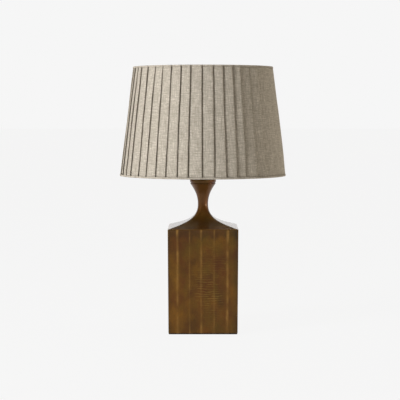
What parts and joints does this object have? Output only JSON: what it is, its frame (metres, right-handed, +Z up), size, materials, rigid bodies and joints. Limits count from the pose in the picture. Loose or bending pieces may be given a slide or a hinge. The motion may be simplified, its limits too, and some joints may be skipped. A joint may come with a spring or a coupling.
{
  "type": "table lamp",
  "caption": "Table lamp with a square fluted column, coved roof and round neck in aged metal, under a tapered knife-pleated fabric shade.",
  "frame": {"origin": "on the table, under the middle of the column's felt", "axes": "+Z up, -Y is the front of the lamp, the cord inlet is at the back (+Y)"},
  "size_m": [0.35, 0.35, 0.5546],
  "materials": {
    "aged_bronze": "semi-gloss brown bronze patina, rubbed lighter along the edges",
    "zinc_steel": "zinc-plated",
    "grey_iron": "as cast, black primer",
    "fibre_board": "raw hardboard",
    "dark_felt": "wool felt",
    "black_rubber": "satin",
    "lamp_brass": "satin brass",
    "black_moulding": "thermosetting plastic",
    "spring_bronze": "bright spring strip",
    "solder_tip": "dull solder",
    "black_glass": "vitrite glass",
    "nickel_cap": "nickel plated",
    "white_plastic": "moulded",
    "opal_plastic": "opal diffuser",
    "white_wire": "white epoxy coated wire",
    "lining_cloth": "off-white cotton lining",
    "pleated_linen": "natural linen, slubbed plain weave",
    "binding_linen": "natural linen, folded strip"
  },
  "bodies": {
    "stand": {"column_body": "aged_bronze", "neck_cap": "aged_bronze", "threaded_rod": "zinc_steel", "rod_nuts": "lamp_brass", "rod_washers": "zinc_steel", "base_weight": "grey_iron", "base_board": "fibre_board", "base_screws": "zinc_steel", "base_felt": "dark_felt", "cord_grommet": "black_rubber", "lampholder_cap": "lamp_brass", "lampholder_core": "black_moulding", "lampholder_terminals": "lamp_brass", "terminal_screws": "zinc_steel", "centre_contact": "spring_bronze", "screw_shell": "lamp_brass", "lampholder_skirt": "lamp_brass"},
    "shade": {"shade_fitter_ring": "white_wire", "shade_arms": "white_wire", "shade_bottom_ring": "white_wire", "shade_top_ring": "white_wire", "shade_struts": "white_wire", "shade_lining": "lining_cloth", "shade_pleats": "pleated_linen", "shade_bottom_binding": "binding_linen", "shade_top_binding": "binding_linen"},
    "clamp_ring": {"shade_clamp_ring": "lamp_brass"},
    "bulb": {"bulb_contact": "solder_tip", "bulb_insulator": "black_glass", "bulb_screw_cap": "nickel_cap", "bulb_body": "white_plastic", "bulb_dome": "opal_plastic"},
    "switch": {"switch_bar": "lamp_brass"}
  },
  "joints": [
    {"name": "shade_turn", "type": "hinge", "parent": "stand", "child": "shade", "pos_m": [0, 0, 0.3766], "axis": [0, 0, 1], "continuous": true},
    {"name": "shade_ring_turn", "type": "hinge", "parent": "stand", "child": "clamp_ring", "pos_m": [0, 0, 0.3808], "axis": [0, 0, 1], "continuous": true},
    {"name": "bulb_turn", "type": "hinge", "parent": "stand", "child": "bulb", "pos_m": [0, 0, 0.38], "axis": [0, 0, 1], "continuous": true},
    {"name": "switch_slide", "type": "slide", "parent": "stand", "child": "switch", "axis": [1, 0, 0], "range_m": [0, 0.006]}
  ]
}
